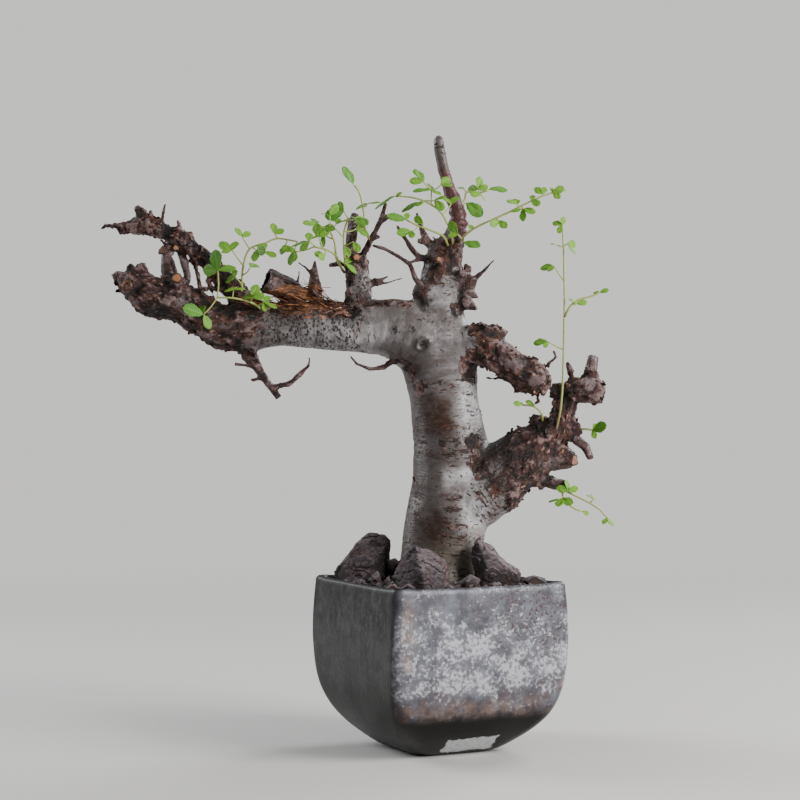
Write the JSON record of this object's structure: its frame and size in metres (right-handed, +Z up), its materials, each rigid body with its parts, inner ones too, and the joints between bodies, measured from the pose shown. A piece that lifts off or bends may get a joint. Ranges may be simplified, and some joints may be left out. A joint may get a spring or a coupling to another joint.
{
  "type": "potted commiphora boranensis",
  "caption": "Commiphora boranensis in bonsai style: thick bare trunk, a long arm to the left, leafy green shoots, lava stones and a dark square glazed bowl.",
  "frame": {"origin": "The centre of the bowl's foot, on the surface that it stands on.", "axes": "+Z is up. -X is the side that the long arm reaches to. -Y is the side that the picture shows."},
  "size_m": [0.3314, 0.1636, 0.3985],
  "materials": {
    "glaze": "satin",
    "grit": "matte",
    "lava_stone": "matte",
    "bark": "satin",
    "leaf": "matte"
  },
  "bodies": {
    "root": {"pot": "glaze", "soil": "grit", "stone_left": "lava_stone", "stone_front": "lava_stone", "stone_slab": "lava_stone", "stone_right_flat": "lava_stone", "stone_front_small": "lava_stone", "stone_gap_small": "lava_stone", "stone_corner_flat": "lava_stone", "stone_left_flat": "lava_stone", "stone_back_large": "lava_stone", "stone_back_mid": "lava_stone", "stone_back_right": "lava_stone", "trunk": "bark", "shoot_arm_front": "leaf", "shoot_arm_upper": "leaf", "shoot_middle": "leaf", "shoot_middle_tall": "leaf", "shoot_neck_left": "leaf", "shoot_neck_right": "leaf", "shoot_neck_back": "leaf", "shoot_right_tall": "leaf", "shoot_right_mid": "leaf", "shoot_right_low": "leaf", "shoot_right_hanging": "leaf"}
  },
  "joints": []
}
